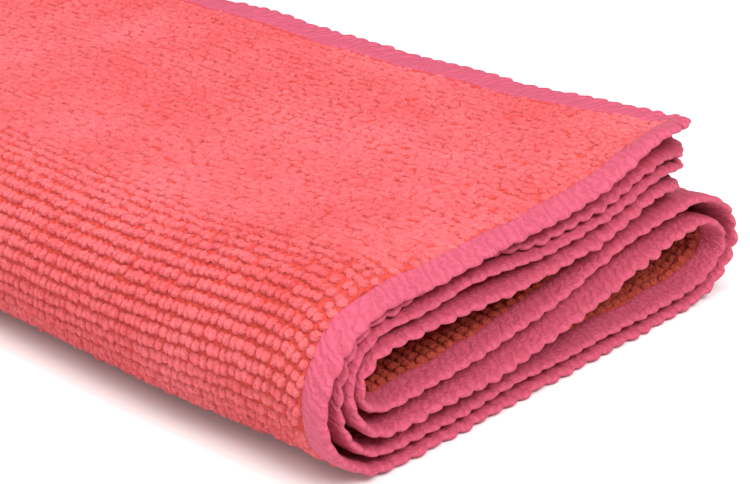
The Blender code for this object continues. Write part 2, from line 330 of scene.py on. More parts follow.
def bend_line(name, y):
    """Points of a bend across the stack, without its two ends."""
    first, second, start, reaches = BENDS[name]
    turn = np.linspace(0.0, 1.0, BEND_POINTS)[1:-1]
    past = along_stack(y, *reaches) * np.sin(np.pi * turn)
    top, bottom = (layer_height(layer, np.array([start]), y)[0] for layer in (first, second))
    z = (top + bottom) / 2 + (top - bottom) / 2 * np.cos(np.pi * turn)
    z = z + layer_slope(first, start, y) * past * (1 - turn) ** 2
    z = z + layer_slope(second, start, y) * past * turn**2
    share = smooth_step(turn, 0.0, 1.0)
    ends = [smooth_curve(start, PLACES, RIM_SETBACK[layer]) for layer in (first, second)]
    return start + past, z, ends[0] * (1 - share) + ends[1] * share


def flat_line(sheet, place, y):
    """Points of a flat layer across the stack."""
    layer = sheet[place]
    ends = []
    for neighbour in (place - 1, place + 1):
        if 0 <= neighbour < len(sheet):
            ends.append(BENDS[sheet[neighbour]][2])
        else:
            ends.append(along_stack(y, *FREE_ENDS[layer]))
    x = np.linspace(*ends, LAYER_POINTS)
    return x, layer_height(layer, x, y), smooth_curve(x, PLACES, RIM_SETBACK[layer])


def sheet_line(sheet, y):
    """The middle of one sheet at a distance from its near rim, with the run of
    each point along it as a share of the whole."""
    lines = [
        bend_line(name, y) if name in BENDS else flat_line(sheet, place, y)
        for place, name in enumerate(sheet)
    ]
    x, z, setback = (np.concatenate([line[i] for line in lines]) for i in range(3))
    run = np.concatenate([[0.0], np.cumsum(np.hypot(np.diff(x), np.diff(z)))])
    fade = 1.0 - smooth_step(y, 0.0, SETBACK_FADES)
    return np.stack([x, y + fade * setback, z], axis=1), run / run[-1]


def crease_height(u, v):
    """Height of the soft troughs and ridges at places on the cloth."""
    height = np.zeros(np.broadcast(u, v).shape)
    for at_u, at_v, half_length, half_width, degrees, rise in CREASES:
        angle = math.radians(degrees)
        along = (u - at_u) * math.cos(angle) + (v - at_v) * math.sin(angle)
        across = (v - at_v) * math.cos(angle) - (u - at_u) * math.sin(angle)
        height += rise * np.exp(-((along / half_length) ** 2) - (across / half_width) ** 2)
    return height


def rim_height(u, v):
    """How far the rims wander up and down, fading behind the hem."""
    first, second = NEAR_RIM_WAVES
    rim = np.exp(-np.minimum(v, SIDE - v) / RIM_FADE)
    side = np.where(v < SIDE / 2, 0.0, 2.1)
    wave = np.sin(u / first + side) + 0.7 * np.sin(u / second + 1.3 + 2 * side)
    first, second = FREE_END_WAVES
    free = np.exp(-np.minimum(u, SIDE - u) / RIM_FADE)
    end = np.sin(v / first + 0.7) + 0.7 * np.sin(v / second)
    return RIM_WAVE * (wave * rim + end * free) / 1.7


def uneven(points):
    """The slow unevenness of the stack. The surface it lies on stays flat."""
    x, y, z = points[..., 0], points[..., 1], points[..., 2]
    rise = smooth_curve(y, ALONG, TOP_RISE)
    left, right = (smooth_curve(y, ALONG, row) for row in (LEFT_SWELL, RIGHT_SWELL))
    swell = np.where(x < MIDDLE, left, right)
    moved = np.stack([x + (x - MIDDLE) / MIDDLE * swell, y, z * (1.0 + rise / TOP_HEIGHT)], axis=-1)
    return moved - np.array(ORIGIN)


class Surface:
    """The middle of the cloth as an even grid over (u, v), with its normals."""

    def __init__(self):
        distances = np.arange(0.0, FOLD_START + 0.5, STEP)
        lines = [[sheet_line(sheet, y) for y in distances] for sheet in (OUTER_SHEET, INNER_SHEET)]
        # Near the rims u is measured along each sheet. Towards the first fold it
        # becomes one measure for both, so that they meet there thread to thread.
        shared = np.mean([run for sheet in lines for _, run in sheet], axis=0)
        even = np.linspace(0.0, 1.0, int(SIDE / STEP) + 1)
        outer, inner = [], []
        for sheet, rows in zip(lines, (outer, inner)):
            for y, (line, run) in zip(distances, sheet):
                common = smooth_step(y, SHARED_FROM, SHARED_TO)
                place = run * (1.0 - common) + shared * common
                rows.append(np.stack([np.interp(even, place, line[:, i]) for i in range(3)], axis=1))
        first, last = outer[-1], inner[-1]
        centre, half = (first + last) / 2, (first - last) / 2
        radius = np.linalg.norm(half[:, [0, 2]], axis=1)
        fold = []
        steps = int((SIDE - 2 * FOLD_START) / STEP)
        for step in range(1, steps):
            angle = math.pi * step / steps
            point = centre + half * math.cos(angle)
            point[:, 1] += (radius + FOLD_BULGE) * math.sin(angle)
            fold.append(point)
        points = uneven(np.array(outer + fold + inner[::-1]))
        v, u = np.mgrid[0:points.shape[0], 0:points.shape[1]] * STEP
        normals = self.normals_of(points)
        raised = points[..., 2] > LYING
        lift = rim_height(u, v) * raised + crease_height(u, v) * raised
        self.points = points + normals * lift[..., None]
        self.normals = self.normals_of(self.points)
        self.du = np.gradient(self.points, STEP, axis=1)
        self.dv = np.gradient(self.points, STEP, axis=0)

    @staticmethod
    def normals_of(points):
        """Normals that point out of the first fold."""
        normals = np.cross(np.gradient(points, axis=0), np.gradient(points, axis=1))
        return normals / np.linalg.norm(normals, axis=-1, keepdims=True)

    def read(self, grid, u, v):
        rows, columns = grid.shape[:2]
        column = np.clip(u / STEP, 0.0, columns - 1.001)
        row = np.clip(v / STEP, 0.0, rows - 1.001)
        i, j = row.astype(int), column.astype(int)
        s, t = (row - i)[..., None], (column - j)[..., None]
        upper = grid[i, j] * (1 - t) + grid[i, j + 1] * t
        lower = grid[i + 1, j] * (1 - t) + grid[i + 1, j + 1] * t
        return upper * (1 - s) + lower * s

    def normal(self, u, v):
        found = self.read(self.normals, u, v)
        return found / np.linalg.norm(found, axis=-1, keepdims=True)

    def at(self, u, v, height=0.0):
        """Points at (u, v), a height above the middle. Past an edge the surface
        goes on straight."""
        inside_u, inside_v = np.clip(u, 0.0, SIDE), np.clip(v, 0.0, SIDE)
        point = self.read(self.points, inside_u, inside_v)
        point = point + self.read(self.du, inside_u, inside_v) * (u - inside_u)[..., None]
        point = point + self.read(self.dv, inside_u, inside_v) * (v - inside_v)[..., None]
        height = np.broadcast_to(height, np.shape(u))[..., None]
        return point + self.normal(inside_u, inside_v) * height


def add_mesh(name, points, faces, material, uv=None):
    """A smooth-shaded object at the origin from points in millimetres."""
    mesh = bpy.data.meshes.new(name)
    mesh.from_pydata((np.asarray(points) * MM).tolist(), [], faces)
    mesh.update()
    if uv is not None:
        layer = mesh.uv_layers.new(name="cloth")
        corners = np.empty(len(mesh.loops), dtype=np.int32)
        mesh.loops.foreach_get("vertex_index", corners)
        layer.data.foreach_set("uv", np.asarray(uv)[corners].astype(np.float32).ravel())
    mesh.shade_smooth()
    mesh.materials.append(material)
    piece = bpy.data.objects.new(name, mesh)
    bpy.context.scene.collection.objects.link(piece)
    return piece


def closed_outwards(piece):
    """Turns a closed piece the right way out."""
    shape = bmesh.new()
    shape.from_mesh(piece.data)
    if shape.calc_volume(signed=True) < 0.0:
        bmesh.ops.reverse_faces(shape, faces=shape.faces[:])
        shape.to_mesh(piece.data)
    shape.free()


def finish_piece(piece):
    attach(piece, "root")


def add_node(tree, kind, inputs=None, **settings):
    """Adds a node with its settings, its input values and its links."""
    node = tree.nodes.new(kind)
    for name, value in settings.items():
        setattr(node, name, value)
    for name, value in (inputs or {}).items():
        socket = node.inputs[name]
        if isinstance(value, bpy.types.NodeSocket):
            tree.links.new(value, socket)
        else:
            socket.default_value = value
    return node


def new_material(name):
    material = bpy.data.materials.new(name)
    material.use_nodes = True
    shader = material.node_tree.nodes["Principled BSDF"]
    return material, material.node_tree, shader


def set_shader(shader, values):
    """Sets sockets of the shader that are the same all over the surface."""
    for name, value in values.items():
        shader.inputs[name].default_value = value


# Microfiber terry: polyester and polyamide filaments, warp knitted with loops on
# both faces and piece-dyed. The split filaments scatter light, so it is matt with
# a soft pale sheen. The deeper colour at the foot of the loops is painted shade.
def terry_material(name, pile, light, groove):
    material, tree, shader = new_material(name)
    place = add_node(tree, "ShaderNodeTexCoord")
    height = add_node(tree, "ShaderNodeAttribute", attribute_name="pile_height")
    tone = add_node(tree, "ShaderNodeAttribute", attribute_name="tone")
    # Bundles of fibres, the curls that they lie in, and patches brushed one way
    fibre, curl, patch = (
        add_node(
            tree, "ShaderNodeTexNoise",
            {"Vector": place.outputs["Object"], "Scale": 1.0 / (size * MM), "Detail": detail},
        )
        for size, detail in ((0.28, 3.0), (0.75, 2.0), (22.0, 2.0))
    )
    # Painted shade: each loop is coloured deeper towards its foot, from the groove colour low down to the
    # pile colour higher up.
    rise = add_node(
        tree, "ShaderNodeMapRange", {"Value": height.outputs["Fac"], "From Min": 0.15, "From Max": 1.0}
    )
    painted_foot_shade = add_node(
        tree, "ShaderNodeMix",
        {"Factor": rise.outputs["Result"], "A": groove, "B": pile},
        data_type="RGBA",
    )
    lighter = add_node(
        tree, "ShaderNodeMath",
        {0: tone.outputs["Fac"], 1: 0.25, 2: patch.outputs["Fac"]}, operation="MULTIPLY_ADD",
    )
    mottled = add_node(
        tree, "ShaderNodeMath",
        {0: curl.outputs["Fac"], 1: 0.8, 2: lighter.outputs["Value"]}, operation="MULTIPLY_ADD",
    )
    amount = add_node(
        tree, "ShaderNodeMapRange",
        {"Value": mottled.outputs["Value"], "From Min": 0.7, "From Max": 1.4, "To Max": 0.5},
    )
    colour = add_node(
        tree, "ShaderNodeMix",
        {"Factor": amount.outputs["Result"], "A": painted_foot_shade.outputs["Result"], "B": light},
        data_type="RGBA",
    )
    yarn = add_node(
        tree, "ShaderNodeMath",
        {0: fibre.outputs["Fac"], 1: 0.5, 2: curl.outputs["Fac"]}, operation="MULTIPLY_ADD",
    )
    bump = add_node(
        tree, "ShaderNodeBump",
        {"Height": yarn.outputs["Value"], "Strength": 1.0, "Distance": 0.9 * MM},
    )
    tree.links.new(colour.outputs["Result"], shader.inputs["Base Color"])
    tree.links.new(bump.outputs["Normal"], shader.inputs["Normal"])
    set_shader(shader, {
        "Roughness": 0.92, "Specular IOR Level": 0.25,
        "Sheen Weight": 0.18, "Sheen Roughness": 0.5, "Sheen Tint": light,
    })
    return material


# The ground between and under the loops: the same yarn, knitted flat. Where no
# separate loops stand, its rows of loops are bump on the cloth's own (u, v) map,
# 2.15 mm from row to row and 1.5 mm from loop to loop.
def ground_material(colours):
    material, tree, shader = new_material("knitted ground of microfiber terry, dyed coral")
    place = add_node(tree, "ShaderNodeUVMap", uv_map="cloth")
    parts = add_node(tree, "ShaderNodeSeparateXYZ", {"Vector": place.outputs["UV"]})
    waves = []
    for socket, pitch in (("X", ROW_PITCH), ("Y", LOOP_PITCH)):
        turns = add_node(
            tree, "ShaderNodeMath",
            {0: parts.outputs[socket], 1: math.pi / (pitch * MM)}, operation="MULTIPLY",
        )
        wave = add_node(tree, "ShaderNodeMath", {0: turns.outputs["Value"]}, operation="SINE")
        waves.append(add_node(tree, "ShaderNodeMath", {0: wave.outputs["Value"]}, operation="ABSOLUTE"))
    loops = add_node(
        tree, "ShaderNodeMath",
        {0: waves[0].outputs["Value"], 1: waves[1].outputs["Value"]}, operation="MULTIPLY",
    )
    fibre = add_node(
        tree, "ShaderNodeTexNoise",
        {"Vector": place.outputs["UV"], "Scale": 1.0 / (0.6 * MM), "Detail": 3.0},
    )
    colour = add_node(
        tree, "ShaderNodeMix",
        {"Factor": fibre.outputs["Fac"], "A": colours.ground, "B": colours.groove},
        data_type="RGBA",
    )
    height = add_node(
        tree, "ShaderNodeMath",
        {0: fibre.outputs["Fac"], 1: 0.5, 2: loops.outputs["Value"]}, operation="MULTIPLY_ADD",
    )
    bump = add_node(
        tree, "ShaderNodeBump",
        {"Height": height.outputs["Value"], "Strength": 0.8, "Distance": 0.5 * MM},
    )
    tree.links.new(colour.outputs["Result"], shader.inputs["Base Color"])
    tree.links.new(bump.outputs["Normal"], shader.inputs["Normal"])
    set_shader(shader, {"Roughness": 0.95, "Specular IOR Level": 0.2})
    return material


# Overlock thread: textured polyester, laid side by side over the edge in slanted
# stitches. The threads catch the light along their length, so the hem has a soft
# gloss with fine slanted lines, and a dimple where each needle stitch pulls in.
def thread_material(colours, pitch):
    material, tree, shader = new_material("overlocked textured polyester thread, pink")
    place = add_node(tree, "ShaderNodeUVMap", uv_map="cloth")
    parts = add_node(tree, "ShaderNodeSeparateXYZ", {"Vector": place.outputs["UV"]})
    # How the threads stray from their lines, and their loose fibres
    wander, fuzz = (
        add_node(
            tree, "ShaderNodeTexNoise",
            {"Vector": place.outputs["UV"], "Scale": 1.0 / (size * MM), "Detail": detail},
        )
        for size, detail in ((1.8, 2.0), (0.5, 3.0))
    )
    slant = add_node(
        tree, "ShaderNodeMath",
        {0: parts.outputs["Y"], 1: THREAD_SLANT, 2: parts.outputs["X"]}, operation="MULTIPLY_ADD",
    )
    turns = add_node(
        tree, "ShaderNodeMath",
        {0: slant.outputs["Value"], 1: 2 * math.pi / (pitch / THREADS * MM)}, operation="MULTIPLY",
    )
    bent = add_node(
        tree, "ShaderNodeMath",
        {0: wander.outputs["Fac"], 1: THREAD_STRAY, 2: turns.outputs["Value"]}, operation="MULTIPLY_ADD",
    )
    wave = add_node(tree, "ShaderNodeMath", {0: bent.outputs["Value"]}, operation="SINE")
    ridge = add_node(
        tree, "ShaderNodeMapRange",
        {"Value": wave.outputs["Value"], "From Min": -1.0, "From Max": 1.0},
    )
    height = add_node(
        tree, "ShaderNodeMath",
        {0: fuzz.outputs["Fac"], 1: 1.6, 2: ridge.outputs["Result"]}, operation="MULTIPLY_ADD",
    )
    # Painted shade, with random mottling: the thread is coloured deeper where this height is low, between
    # the threads and in the low spots of the fuzz.
    tone = add_node(
        tree, "ShaderNodeMapRange",
        {"Value": height.outputs["Value"], "From Min": 0.2, "From Max": 2.2, "To Max": 1.0},
    )
    colour = add_node(
        tree, "ShaderNodeMix",
        {"Factor": tone.outputs["Result"], "A": colours.thread_shade_and_mottle, "B": colours.thread},
        data_type="RGBA",
    )
    bump = add_node(
        tree, "ShaderNodeBump",
        {"Height": height.outputs["Value"], "Strength": 0.7, "Distance": 0.2 * MM},
    )
    tree.links.new(colour.outputs["Result"], shader.inputs["Base Color"])
    tree.links.new(bump.outputs["Normal"], shader.inputs["Normal"])
    set_shader(shader, {
        "Roughness": 0.72, "Specular IOR Level": 0.35,
        "Sheen Weight": 0.12, "Sheen Roughness": 0.4, "Sheen Tint": colours.thread_sheen,
    })
    return material


def ground_lines(surface):
    """Columns and rows of the ground, closer together where the cloth bends."""
    def spaced(axis, count):
        normals = surface.normals
        turn = np.linalg.norm(np.diff(normals, axis=axis), axis=2).mean(axis=1 - axis)
        weight = np.concatenate([[0.0], np.cumsum(STEP / SIDE + turn * BEND_SHARE)])
        place = np.arange(len(weight)) * STEP
        low = np.interp(GROUND_INSET, place, weight)
        high = np.interp(SIDE - GROUND_INSET, place, weight)
        return np.interp(np.linspace(low, high, count), weight, place)

    return spaced(1, GROUND_COLUMNS), spaced(0, GROUND_ROWS)


def add_ground(surface, material):
    """The knitted ground: a closed sheet that ends inside the overlocked edge."""
    u_lines, v_lines = ground_lines(surface)
    v, u = np.meshgrid(v_lines, u_lines, indexing="ij")
    half = GROUND_THICKNESS / 2
    faces_of_sheet = [surface.at(u, v, side * half) for side in (1, -1)]
    rows, columns = u.shape
    points = np.concatenate([face.reshape(-1, 3) for face in faces_of_sheet])
    uv = np.stack([u.ravel(), v.ravel()], axis=1) * MM
    uv = np.concatenate([uv, uv])
    index = np.arange(rows * columns).reshape(rows, columns)
    quads = np.stack([index[:-1, :-1], index[:-1, 1:], index[1:, 1:], index[1:, :-1]], axis=-1)
    outer = quads.reshape(-1, 4)
    inner = outer[:, ::-1] + rows * columns
    border = np.concatenate([index[0, :-1], index[:-1, -1], index[-1, :0:-1], index[:0:-1, 0]])
    following = np.roll(border, -1)
    rim = np.stack([border, border + rows * columns, following + rows * columns, following], axis=1)
    faces = np.concatenate([outer, inner, rim]).tolist()
    piece = add_mesh("terry_ground", points, faces, material, uv)
    closed_outwards(piece)
    return piece


def outline(count):
    """Places round the cloth's rounded square outline.

    Gives, for each place: the centre it turns about or the point on the edge,
    the direction out of the cloth, the radius there and the run along it."""
    straight = SIDE - 2 * CORNER_RADIUS
    arc = math.pi / 2 * CORNER_RADIUS
    length = 4 * (straight + arc)
    run = np.arange(count) * length / count
    side = (run // (straight + arc)).astype(int)
    along = run - side * (straight + arc)
    on_arc = along > straight
    turn = np.where(on_arc, (along - straight) / CORNER_RADIUS, 0.0) + side * math.pi / 2
    ahead = np.stack([np.cos(side * math.pi / 2), np.sin(side * math.pi / 2)], axis=1)
    corners = np.array([
        (CORNER_RADIUS, CORNER_RADIUS), (SIDE - CORNER_RADIUS, CORNER_RADIUS),
        (SIDE - CORNER_RADIUS, SIDE - CORNER_RADIUS), (CORNER_RADIUS, SIDE - CORNER_RADIUS),
    ])
    centre = corners[side] + ahead * np.minimum(along, straight)[:, None]
    out = np.stack([np.sin(turn), -np.cos(turn)], axis=1)
    return centre, out, run, length


def wider_hem(v):
    """How much wider the edge is along the upper free end."""
    return WIDER_HEM * smooth_step(v, *WIDER_END)


def wider_bend_hem(u):
    """How much wider the edge is at the near rim of the right outer bend."""
    return WIDER_HEM * smooth_step(u, *WIDER_BEND[:2]) * (1.0 - smooth_step(u, *WIDER_BEND[2:]))


def add_edge(surface, material, scallop_pitch, scallop_depth):
    """The overlocked edge: one closed ring round the whole cloth."""
    perimeter = 4 * (SIDE - 2 * CORNER_RADIUS) + 2 * math.pi * CORNER_RADIUS
    scallops = round(perimeter / scallop_pitch)
    centre, out, run, length = outline(scallops * SCALLOP_STEPS)
    pitch = length / scallops
    generator = np.random.default_rng(7)
    size = np.clip(1.0 + SCALLOP_SPREAD * generator.standard_normal(scallops), *SCALLOP_SIZES)
    lift = SCALLOP_LIFT * generator.standard_normal(scallops)
    shift = SCALLOP_SHIFT * generator.standard_normal(scallops)
    which = np.minimum((run / pitch).astype(int), scallops - 1)
    phase = run / pitch - which
    phase = phase + shift[which] * np.sin(np.pi * phase) ** 2
    bump = np.sin(np.pi * phase) ** 0.9 * size[which]
    lift = lift[which] * np.sin(np.pi * phase)

    # The inner line wanders, and lies further in where the edge is wider.
    slow, middle, quick = (turns * (2 * np.pi * run / length) for turns in HEM_WANDER_TURNS)
    wander = HEM_WANDER * (np.sin(slow) + np.sin(middle + 1.0) + np.sin(quick)) / 2
    free_end = np.exp(-np.maximum(centre[:, 0] - CORNER_RADIUS, 0.0) / 4.0)
    near_rim = np.exp(-np.maximum(centre[:, 1] - CORNER_RADIUS, 0.0) / 4.0)
    wander = wander + wider_hem(centre[:, 1]) * free_end + wider_bend_hem(centre[:, 0]) * near_rim

    # The section goes on round the rim and back in on the other face.
    section = [*EDGE_SECTION, *((d, -h, s, w) for d, h, s, w in EDGE_SECTION[-2::-1])]
    points, uvs = [], []
    for distance, half, scallop, wandering in section:
        inset = distance + wander * wandering - scallop_depth * (bump - 0.5) * scallop
        place = centre + out * (CORNER_RADIUS - inset)[:, None]
        # The needle thread pulls a slanted groove across the edge at each stitch.
        slanted = (run + GROOVE_SLANT * distance) / pitch % 1.0
        groove = np.exp(-(((slanted + 0.5) % 1.0 - 0.5) / GROOVE_WIDTH) ** 2)
        groove = groove * GROOVE_DEPTH * math.exp(-((distance - GROOVE_AT) / GROOVE_REACH) ** 2)
        groove = groove * size[which]
        height = math.copysign(1.0, half) * (abs(half) - groove) if half else 0.0 * bump
        height = height + (lift + 0.16 * (bump - 0.6)) * scallop
        points.append(surface.at(place[:, 0], place[:, 1], height))
        uvs.append(np.stack([run, np.full_like(run, math.copysign(distance, half))], axis=1) * MM)
    points = np.array(points)
    # Nothing reaches below the surface that the cloth lies on.
    points[..., 2] = np.maximum(points[..., 2], CLEARANCE)
    rows, columns = points.shape[:2]
    index = np.arange(rows * columns).reshape(rows, columns)
    after = np.roll(index, -1, axis=0)
    beside = np.roll(index, -1, axis=1)
    corner = np.roll(after, -1, axis=1)
    faces = np.stack([index, beside, corner, after], axis=-1).reshape(-1, 4).tolist()
    piece = add_mesh(
        "overlocked_edge", points.reshape(-1, 3), faces, material, np.concatenate(uvs)
    )
    closed_outwards(piece)
    return piece


def loop_tree():
    """Geometry Nodes: a leaning terry loop on every point, realized."""
    tree = bpy.data.node_groups.new("terry loops", "GeometryNodeTree")
    sockets = (
        ("Points", "NodeSocketGeometry", None),
        ("Loop Length", "NodeSocketFloat", 2.3 * MM),
        ("Loop Width", "NodeSocketFloat", 2.1 * MM),
        ("Loop Height", "NodeSocketFloat", 1.15 * MM),
        ("Unevenness", "NodeSocketFloat", 0.16),
        ("Curl", "NodeSocketFloat", 0.5 * MM),
        ("Seed", "NodeSocketInt", 3),
        ("Material", "NodeSocketMaterial", None),
    )
    for name, kind, default in sockets:
        socket = tree.interface.new_socket(name, in_out="INPUT", socket_type=kind)
        if default is not None:
            socket.default_value = default
    tree.interface.new_socket("Geometry", in_out="OUTPUT", socket_type="NodeSocketGeometry")
    given = add_node(tree, "NodeGroupInput").outputs

    # A cone of six sides and three steps, rounded into the top of a loop
    cone = add_node(
        tree, "GeometryNodeMeshCone",
        {"Vertices": 6, "Side Segments": 3, "Radius Top": 0.0, "Radius Bottom": 0.5, "Depth": 1.0},
        fill_type="NONE",
    )
    place = add_node(tree, "GeometryNodeInputPosition")
    parts = add_node(tree, "ShaderNodeSeparateXYZ", {0: place.outputs[0]})
    angle = add_node(tree, "ShaderNodeMath", {0: parts.outputs["Z"], 1: math.pi / 2}, operation="MULTIPLY")
    wide = add_node(tree, "ShaderNodeMath", {0: angle.outputs[0]}, operation="COSINE")
    left = add_node(tree, "ShaderNodeMath", {0: 1.001, 1: parts.outputs["Z"]}, operation="SUBTRACT")
    ratio = add_node(tree, "ShaderNodeMath", {0: wide.outputs[0], 1: left.outputs[0]}, operation="DIVIDE")
    tall = add_node(tree, "ShaderNodeMath", {0: angle.outputs[0]}, operation="SINE")
    x = add_node(tree, "ShaderNodeMath", {0: parts.outputs["X"], 1: ratio.outputs[0]}, operation="MULTIPLY")
    leaning = add_node(
        tree, "ShaderNodeMath", {0: tall.outputs[0], 1: 0.16, 2: x.outputs[0]}, operation="MULTIPLY_ADD"
    )
    y = add_node(tree, "ShaderNodeMath", {0: parts.outputs["Y"], 1: ratio.outputs[0]}, operation="MULTIPLY")
    rounded = add_node(
        tree, "ShaderNodeCombineXYZ", {"X": leaning.outputs[0], "Y": y.outputs[0], "Z": tall.outputs[0]}
    )
    loop = add_node(
        tree, "GeometryNodeSetPosition",
        {"Geometry": cone.outputs["Mesh"], "Position": rounded.outputs[0]},
    )
    now = add_node(tree, "ShaderNodeSeparateXYZ", {0: place.outputs[0]})
    loop = add_node(
        tree, "GeometryNodeStoreNamedAttribute",
        {"Geometry": loop.outputs[0], "Name": "pile_height", "Value": now.outputs["Z"]},
        data_type="FLOAT", domain="POINT",
    )
    loop = add_node(tree, "GeometryNodeSetShadeSmooth", {"Geometry": loop.outputs[0]})

    size = add_node(
        tree, "ShaderNodeCombineXYZ",
        {"X": given["Loop Length"], "Y": given["Loop Width"], "Z": given["Loop Height"]},
    )
    fewer = add_node(tree, "ShaderNodeMath", {0: 1.0, 1: given["Unevenness"]}, operation="SUBTRACT")
    more = add_node(tree, "ShaderNodeMath", {0: 1.0, 1: given["Unevenness"]}, operation="ADD")
    least = add_node(tree, "ShaderNodeCombineXYZ", {n: fewer.outputs[0] for n in "XYZ"})
    most = add_node(tree, "ShaderNodeCombineXYZ", {n: more.outputs[0] for n in "XYZ"})
    vary = add_node(
        tree, "FunctionNodeRandomValue",
        {"Min": least.outputs[0], "Max": most.outputs[0], "Seed": given["Seed"]},
        data_type="FLOAT_VECTOR",
    )
    scale = add_node(
        tree, "ShaderNodeVectorMath", {0: size.outputs[0], 1: vary.outputs[0]}, operation="MULTIPLY"
    )
    lie = add_node(tree, "GeometryNodeInputNamedAttribute", {"Name": "lie"}, data_type="FLOAT_VECTOR")
    turn = add_node(tree, "FunctionNodeEulerToRotation", {0: lie.outputs[0]})
    placed = add_node(
        tree, "GeometryNodeInstanceOnPoints",
        {
            "Points": given["Points"], "Instance": loop.outputs[0],
            "Rotation": turn.outputs[0], "Scale": scale.outputs[0],
        },
    )
    tone = add_node(
        tree, "FunctionNodeRandomValue", {"Seed": given["Seed"]}, data_type="FLOAT",
    )
    toned = add_node(
        tree, "GeometryNodeStoreNamedAttribute",
        {"Geometry": placed.outputs[0], "Name": "tone", "Value": tone.outputs[1]},
        data_type="FLOAT", domain="INSTANCE",
    )
    whole = add_node(tree, "GeometryNodeRealizeInstances", {"Geometry": toned.outputs[0]})

    # The yarn of a loop is a loose bundle, so no two are quite the same.
    curl = add_node(
        tree, "ShaderNodeTexNoise", {"Vector": place.outputs[0], "Scale": 1.0 / (0.8 * MM), "Detail": 1.0}
    )
    centred = add_node(
        tree, "ShaderNodeVectorMath", {0: curl.outputs["Color"], 1: (0.5, 0.5, 0.5)}, operation="SUBTRACT"
    )
    moved = add_node(
        tree, "ShaderNodeVectorMath", {0: centred.outputs[0], "Scale": given["Curl"]}, operation="SCALE"
    )
    whole = add_node(
        tree, "GeometryNodeSetPosition", {"Geometry": whole.outputs[0], "Offset": moved.outputs[0]}
    )
    dressed = add_node(
        tree, "GeometryNodeSetMaterial",
        {"Geometry": whole.outputs[0], "Material": given["Material"]},
    )
    output = add_node(tree, "NodeGroupOutput")
    tree.links.new(dressed.outputs[0], output.inputs[0])
    return tree


def loop_places(u_range, v_range, pitch, stray, generator):
    """Staggered places of the loops in one stretch of the cloth."""
    row_pitch, loop_pitch = ROW_PITCH * pitch, LOOP_PITCH * pitch
    rows = np.arange(math.ceil(u_range[0] / row_pitch), math.ceil(u_range[1] / row_pitch))
    count = int((v_range[1] - v_range[0]) / loop_pitch)
    places = []
    for row in rows:
        v = v_range[0] + (np.arange(count) + 0.5 + 0.37 * (row % 2)) * loop_pitch
        places.append(np.stack([np.full(count, row * row_pitch), v], axis=1))
    places = np.concatenate(places)
    places += generator.normal(0.0, (stray, stray + STRAY_ALONG), places.shape)
    inside = (places > HEM_WIDTH - 0.1) & (places < SIDE - HEM_WIDTH + 0.1)
    wider = places[:, 0] > HEM_WIDTH + wider_hem(places[:, 1])
    wider &= places[:, 1] > HEM_WIDTH + wider_bend_hem(places[:, 0])
    return places[inside.all(axis=1) & wider]


def loop_turns(surface, u, v, generator):
    """Euler turns that stand each loop on the cloth, a little askew."""
    normal = surface.normal(u, v) + generator.normal(0.0, LOOP_TILT, (len(u), 3))
    normal /= np.linalg.norm(normal, axis=1, keepdims=True)
    across = surface.read(surface.du, u, v)
    across -= normal * (across * normal).sum(axis=1, keepdims=True)
    across /= np.linalg.norm(across, axis=1, keepdims=True)
    along = np.cross(normal, across)
    swing = generator.normal(LOOP_SWING, SWING_SPREAD, len(u))[:, None]
    turned = across * np.cos(swing) + along * np.sin(swing)
    frames = np.stack([turned, np.cross(normal, turned), normal], axis=2)
    return np.array([tuple(Matrix(one.tolist()).to_euler()) for one in frames])


def add_pile(surface, name, tree, material, sizes, seed):
    """The loops of one stretch of the outer face."""
    generator = np.random.default_rng(seed)
    u_range, v_range, pitch, stray, depth, size = PILE[name]
    places = loop_places(u_range, v_range, pitch, stray, generator)
    u, v = places[:, 0], places[:, 1]
    root = GROUND_THICKNESS / 2 - depth + generator.normal(0.0, ROOT_SPREAD, len(u))
    mesh = bpy.data.meshes.new(name + "_points")
    mesh.from_pydata((surface.at(u, v, root) * MM).tolist(), [], [])
    attribute = mesh.attributes.new("lie", "FLOAT_VECTOR", "POINT")
    turns = loop_turns(surface, u, v, generator)
    attribute.data.foreach_set("vector", turns.astype(np.float32).ravel())
    carrier = bpy.data.objects.new(name + "_points", mesh)
    bpy.context.scene.collection.objects.link(carrier)
    modifier = carrier.modifiers.new("loops", "NODES")
    modifier.node_group = tree
    values = {
        "Loop Length": sizes.length * size[0], "Loop Width": sizes.width * size[1],
        "Loop Height": sizes.height * size[2],
        "Unevenness": sizes.unevenness, "Curl": sizes.curl, "Seed": seed, "Material": material,
    }
    for socket in tree.interface.items_tree:
        if socket.in_out == "INPUT" and socket.name in values:
            modifier[socket.identifier] = values[socket.name]
    evaluated = carrier.evaluated_get(bpy.context.evaluated_depsgraph_get())
    shape = bpy.data.meshes.new_from_object(evaluated)
    shape.name = name
    shape.materials.clear()
    shape.materials.append(material)
    # Loops near the surface that the cloth lies on are pressed flat on it.
    places = np.empty(len(shape.vertices) * 3)
    shape.vertices.foreach_get("co", places)
    places[2::3] = np.maximum(places[2::3], CLEARANCE * MM)
    shape.vertices.foreach_set("co", places)
    piece = bpy.data.objects.new(name, shape)
    bpy.context.scene.collection.objects.link(piece)
    bpy.data.objects.remove(carrier, do_unlink=True)
    return piece


def colour_property(name, description, hex_colour):
    return bpy.props.FloatVectorProperty(
        name=name, description=description, subtype="COLOR", size=4,
        min=0.0, max=1.0, default=linear(hex_colour),
    )


def length_property(name, description, millimetres):
    return bpy.props.FloatProperty(
        name=name, description=description, default=millimetres * MM,
        min=0.0, subtype="DISTANCE", unit="LENGTH",
    )


